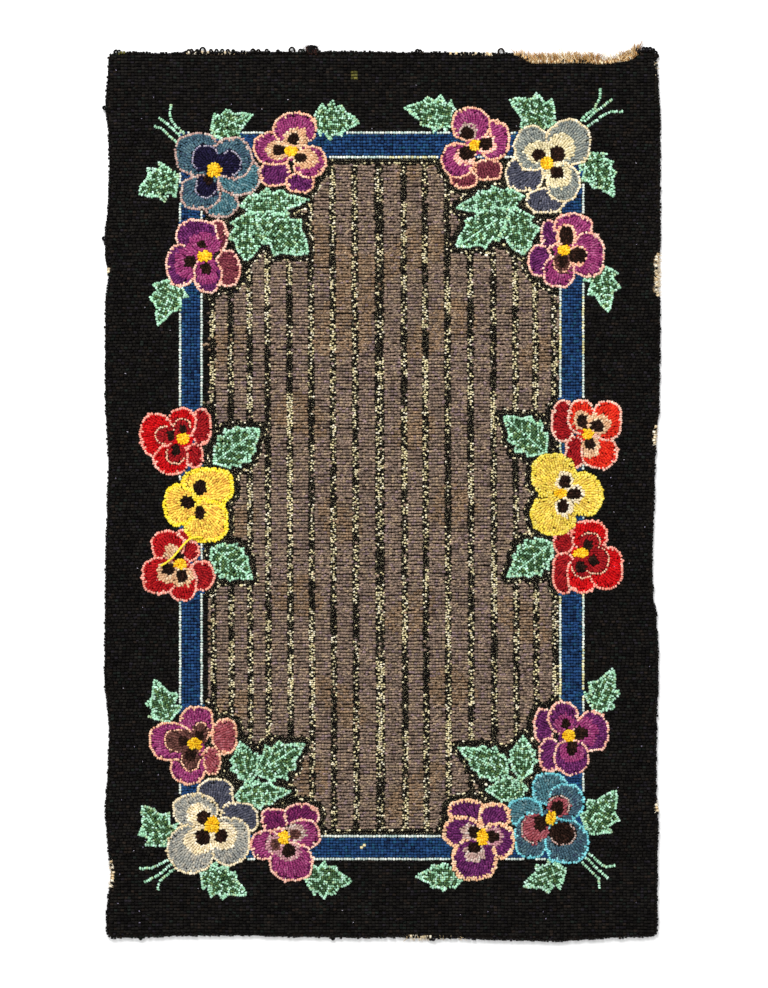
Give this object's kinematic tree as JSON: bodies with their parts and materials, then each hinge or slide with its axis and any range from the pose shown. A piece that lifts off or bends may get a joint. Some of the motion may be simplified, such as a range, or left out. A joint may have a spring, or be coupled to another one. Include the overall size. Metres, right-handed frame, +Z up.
{
  "type": "hooked rug",
  "caption": "Flat rectangular rug of wool loops on burlap, with flower sprays over a striped field in a dark border.",
  "frame": {"origin": "under the middle of the rug, on the surface that it lies on", "axes": "+Y along the rug's long side, +Z up out of the pile, +X across it"},
  "size_m": [0.6684, 1.0716, 0.0109],
  "materials": {
    "dark_wool": "matte wool loops",
    "yellow_wool": "matte wool yarn",
    "field_wool": "matte wool loops",
    "blue_wool": "matte wool loops",
    "pale_wool": "matte wool loops",
    "flower_wool": "matte wool loops",
    "leaf_wool": "matte wool loops",
    "burlap": "coarse plain weave"
  },
  "bodies": {
    "root": {"hooked_rug": "dark_wool", "loose_yarn": "yellow_wool"}
  },
  "joints": []
}
